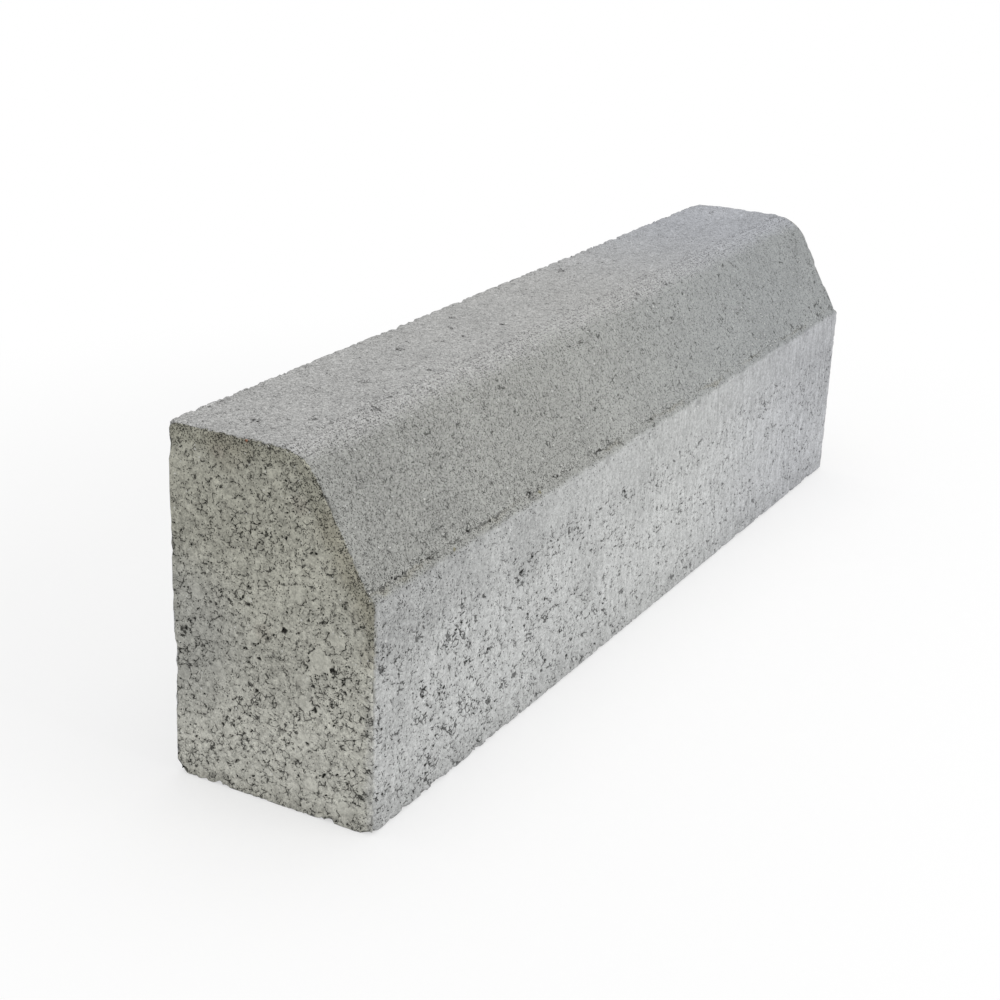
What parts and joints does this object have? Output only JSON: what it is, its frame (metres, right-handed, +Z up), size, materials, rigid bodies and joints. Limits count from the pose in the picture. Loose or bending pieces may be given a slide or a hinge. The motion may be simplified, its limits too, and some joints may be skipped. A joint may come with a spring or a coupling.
{
  "type": "kerb stone",
  "caption": "Long rectangular block of pressed concrete with a flat top, rounded crown, splayed road face with a narrow ledge at its foot, and an upright front below it.",
  "frame": {"origin": "middle of the bed face, the underside that the kerb lies on", "axes": "+X along the kerb's length, -Y towards the road and the splayed face, +Y towards the footway and the flat back, +Z up"},
  "size_m": [0.8, 0.15, 0.24],
  "materials": {
    "concrete": "matte"
  },
  "bodies": {
    "root": {"kerb_stone": "concrete"}
  },
  "joints": []
}
